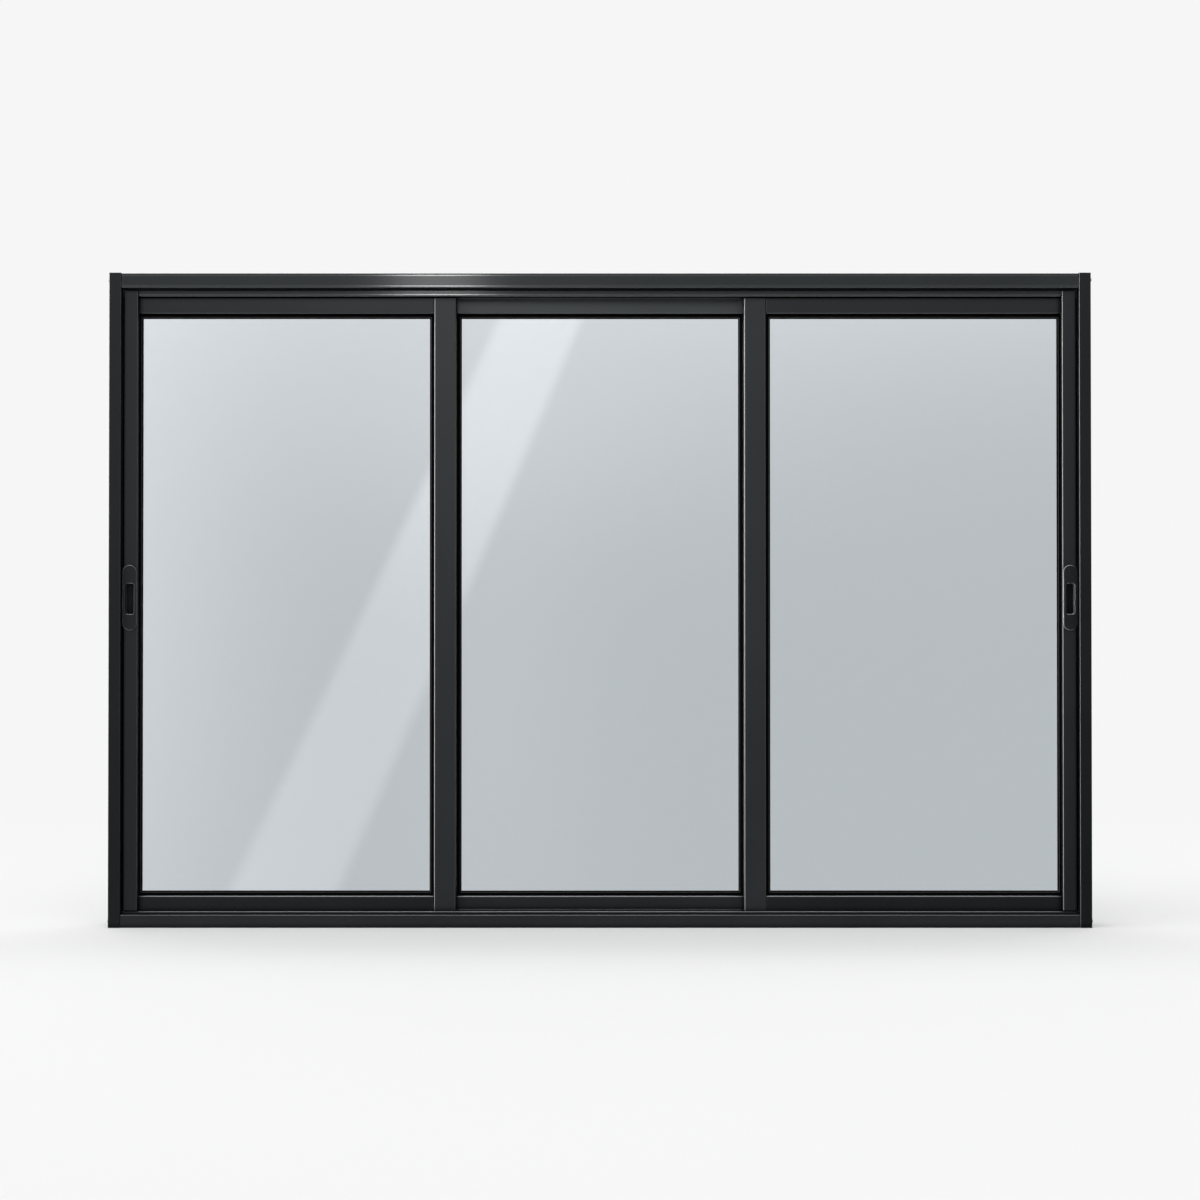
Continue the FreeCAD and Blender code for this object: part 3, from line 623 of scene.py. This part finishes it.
# Pile strips behind the interlock stiles: dense woven fibre on a flat back.
# They slide into grooves of the stiles and brush along the centre light.
pile_root = (0.020, 0.020, 0.021)
pile_tip = (0.060, 0.060, 0.063)
pile_fibres_per_metre = 2500.0
pile_fibre_stretch = (1.0, 0.1, 1.0)
pile_fibre_depth = 0.0003
pile_roughness = 0.95

pile, pile_tree, pile_shader = start_material("pile_fibre")
pile_fibre = noise_at(pile_tree, pile_fibres_per_metre, stretch=pile_fibre_stretch)
pile_base = blend_colours(pile_tree, pile_fibre, pile_root, pile_tip)
pile_tree.links.new(pile_base, pile_shader.inputs["Base Color"])
pile_shader.inputs["Roughness"].default_value = pile_roughness
add_bump(pile_tree, pile_shader, pile_fibre, pile_fibre_depth)
finish_nodes(pile, ["left_pile_seal", "right_pile_seal"])

# The floor that the window stands on: plain, pale and matt, level with the foot of the frame.
# Further off it has a light of its own for the camera, so that it runs into the white wall behind.
# Through a pane it looks as bright as that wall.
wall_brightness = 0.922
floor_reach = 40.0
floor_sides = 96
floor_paleness = 0.850
floor_even_share = 0.12
floor_fade_starts = 0.9
floor_fade_ends = 2.8
floor_fade_shape = (0.6, 1.0, 1.0)

floor_mesh = bpy.data.meshes.new("floor")
floor_shape = bmesh.new()
bmesh.ops.create_circle(floor_shape, cap_ends=True, radius=floor_reach, segments=floor_sides)
floor_shape.to_mesh(floor_mesh)
floor_shape.free()
floor = bpy.data.objects.new("floor", floor_mesh)
bpy.context.scene.collection.objects.link(floor)
floor_paint, floor_tree, floor_shader = start_material("floor_paint")
floor_shader.inputs["Base Color"].default_value = (floor_paleness, floor_paleness, floor_paleness, 1.0)
floor_shader.inputs["Roughness"].default_value = 1.0
floor_shader.inputs["Specular IOR Level"].default_value = 0.0
floor_glow = floor_tree.nodes.new("ShaderNodeEmission")
floor_glow.inputs["Color"].default_value = (1.0, 1.0, 1.0, 1.0)
floor_glow.inputs["Strength"].default_value = wall_brightness

floor_oval = floor_tree.nodes.new("ShaderNodeVectorMath")
floor_oval.operation = "MULTIPLY"
floor_oval.inputs[1].default_value = floor_fade_shape
floor_distance = floor_tree.nodes.new("ShaderNodeVectorMath")
floor_distance.operation = "LENGTH"
floor_tree.links.new(object_place(floor_tree), floor_oval.inputs[0])
floor_tree.links.new(floor_oval.outputs["Vector"], floor_distance.inputs[0])
floor_fade = spread(
    floor_tree,
    floor_distance.outputs["Value"],
    floor_even_share,
    1.0,
    floor_fade_starts,
    floor_fade_ends,
    "SMOOTHSTEP",
)
floor_ray = floor_tree.nodes.new("ShaderNodeLightPath").outputs
floor_far = multiply(floor_tree, floor_ray["Is Camera Ray"], floor_fade)
floor_share = calculate(floor_tree, "ADD", floor_far, floor_ray["Is Transmission Ray"])
floor_mix = floor_tree.nodes.new("ShaderNodeMixShader")
floor_tree.links.new(floor_share, floor_mix.inputs["Fac"])
floor_tree.links.new(floor_shader.outputs[0], floor_mix.inputs[1])
floor_tree.links.new(floor_glow.outputs[0], floor_mix.inputs[2])

# A ray straight through a pane has an even depth at the floor.
# A ray that was mirrored inside the pane has an odd one, and goes on to the light of the studio.
floor_odd = calculate(floor_tree, "MODULO", floor_ray["Ray Depth"], 2.0)
floor_skipped = multiply(floor_tree, floor_odd, floor_ray["Is Transmission Ray"])
floor_clear = floor_tree.nodes.new("ShaderNodeBsdfTransparent")
floor_choice = floor_tree.nodes.new("ShaderNodeMixShader")
floor_tree.links.new(floor_skipped, floor_choice.inputs["Fac"])
floor_tree.links.new(floor_mix.outputs[0], floor_choice.inputs[1])
floor_tree.links.new(floor_clear.outputs[0], floor_choice.inputs[2])
floor_tree.links.new(floor_choice.outputs[0], floor_tree.nodes["Material Output"].inputs["Surface"])
floor_mesh.materials.append(floor_paint)
floor.visible_glossy = False

# The studio: a white wall behind, a dim room in front, and soft white panels high up and to the left.
# One long panel stands aslant in front, and shows in the glass as a pale streak.
room_light = (0.38, 0.27)
room_turn_y = (-0.2, 0.2)
panels = [
    # strength, then centre and spread along X, Y and Z
    (2.9, (0.02, 0.40), (-1.0, 0.50), (0.26, 0.08)),
    (2.6, (0.16, 0.30), (-1.0, 0.50), (0.38, 0.08)),
    (0.40, (-0.04, 0.09), (-1.0, 0.50), (0.092, 0.040)),
    (0.25, (-0.05, 0.035), (-1.0, 0.50), (-0.03, 0.12)),
    (1.5, (-0.27, 0.070), (-1.0, 0.50), (0.07, 0.20)),
    (2.0, (-0.62, 0.15), (-0.78, 0.30), (0.0, 0.15)),
    (8.0, (-1.0, 0.12), (-0.15, 0.25), (0.20, 0.25)),
    (5.0, (0.0, 0.30), (0.26, 0.09), (1.0, 0.30)),
    (1.4, (-0.45, 0.30), (0.95, 0.35), (0.45, 0.12)),
    (1.0, (0.55, 0.12), (0.80, 0.25), (0.05, 0.30)),
    (2.8, (-0.10, 0.35), (-0.30, 0.16), (1.0, 0.25)),
]
streak_light = (0.64, 0.92)
streak_light_z = (-0.02, 0.07)
streak_lean = 0.445
streak_x = -0.0885
streak_taper = -0.020
streak_half_width = 0.0214
streak_edge = (0.80, 1.20)
streak_reach_z = 0.25

world = bpy.data.worlds.new("studio")
world.use_nodes = True
bpy.context.scene.world = world
sky = world.node_tree
sky.nodes.clear()


def off_centre(part, centre, width):
    """Square of how far a direction lies from a panel's centre, in units of its spread."""
    away = calculate(sky, "DIVIDE", calculate(sky, "SUBTRACT", part, centre), width)
    return multiply(sky, away, away)


def panel_light(strength, along_x, along_y, along_z):
    """Light of a panel with soft edges."""
    away = calculate(sky, "ADD", off_centre(sky_axes["X"], *along_x), off_centre(sky_axes["Y"], *along_y))
    away = calculate(sky, "ADD", away, off_centre(sky_axes["Z"], *along_z))
    return multiply(sky, calculate(sky, "EXPONENT", multiply(sky, away, -0.5)), strength)


sky_axes = axes_of(sky, sky.nodes.new("ShaderNodeTexCoord").outputs["Generated"])
studio_light = spread(sky, sky_axes["Y"], *room_light, *room_turn_y, "SMOOTHSTEP")
for panel in panels:
    studio_light = calculate(sky, "ADD", studio_light, panel_light(*panel))

streak_middle = calculate(sky, "MULTIPLY_ADD", sky_axes["Z"], streak_lean, streak_x)
streak_half = calculate(sky, "MULTIPLY_ADD", sky_axes["Z"], streak_taper, streak_half_width)
streak_off = calculate(sky, "ABSOLUTE", calculate(sky, "SUBTRACT", sky_axes["X"], streak_middle))
streak_share = calculate(sky, "DIVIDE", streak_off, streak_half)
streak_shape = spread(sky, streak_share, 1.0, 0.0, *streak_edge, "SMOOTHSTEP")
streak_level = spread(sky, sky_axes["Z"], *streak_light, *streak_light_z, "SMOOTHSTEP")
streak_height = calculate(sky, "ABSOLUTE", sky_axes["Z"])
streak = multiply(sky, streak_shape, streak_level)
streak = multiply(sky, streak, calculate(sky, "LESS_THAN", sky_axes["Y"], 0.0))
streak = multiply(sky, streak, calculate(sky, "LESS_THAN", streak_height, streak_reach_z))
studio_light = calculate(sky, "ADD", studio_light, streak)

# In the world the depth of a ray counts one more than on the floor, so it is odd straight through a pane.
sky_ray = sky.nodes.new("ShaderNodeLightPath").outputs
sky_odd = calculate(sky, "MODULO", sky_ray["Ray Depth"], 2.0)
sky_through = multiply(sky, sky_ray["Is Transmission Ray"], sky_odd)
sky_is_wall = calculate(sky, "MAXIMUM", sky_ray["Is Camera Ray"], sky_through)
sky_level = sky.nodes.new("ShaderNodeMix")
sky_level.inputs["B"].default_value = wall_brightness
sky.links.new(sky_is_wall, sky_level.inputs["Factor"])
sky.links.new(studio_light, sky_level.inputs["A"])
sky_light = sky.nodes.new("ShaderNodeBackground")
sky_light.inputs["Color"].default_value = (1.0, 1.0, 1.0, 1.0)
sky.links.new(sky_level.outputs["Result"], sky_light.inputs["Strength"])
sky_out = sky.nodes.new("ShaderNodeOutputWorld")
sky.links.new(sky_light.outputs[0], sky_out.inputs["Surface"])

# A small lamp as far in front as the camera, high up and a little to the left.
# It shines on gloss only, and glints on the head and the tops of the stiles.
lamp_width = 0.30
lamp_height = 0.16
lamp_watts = 10.5
lamp_x = -0.60
lamp_distance = 4.0
lamp_z = 1.815
lamp_tilt = 80.0
lamp_turn = -8.0

lamp_data = bpy.data.lights.new("glint_lamp", "AREA")
lamp_data.shape = "RECTANGLE"
lamp_data.size = lamp_width
lamp_data.size_y = lamp_height
lamp_data.energy = lamp_watts
lamp = bpy.data.objects.new("glint_lamp", lamp_data)
lamp.location = (lamp_x, frame_low.y - lamp_distance, lamp_z)
lamp.rotation_euler = (math.radians(lamp_tilt), 0.0, math.radians(lamp_turn))
lamp.visible_camera = False
lamp.visible_transmission = False
lamp.visible_diffuse = False
bpy.context.scene.collection.objects.link(lamp)

# The camera stands square in front of the window, a little below its middle.
# It looks up by about half a degree, and shows the window as large as the photograph does.
camera_distance = 4.0
camera_z = 0.557
camera_lift = 0.61
camera_sensor = 36.0
camera_lens = 65.55

camera_data = bpy.data.cameras.new("camera")
camera_data.sensor_width = camera_sensor
camera_data.lens = camera_lens
camera = bpy.data.objects.new("camera", camera_data)
camera.location = (0.0, frame_low.y - camera_distance, camera_z)
camera.rotation_euler = (math.radians(90.0 + camera_lift), 0.0, 0.0)
bpy.context.scene.collection.objects.link(camera)
bpy.context.scene.camera = camera
bpy.context.scene.view_settings.view_transform = "Standard"
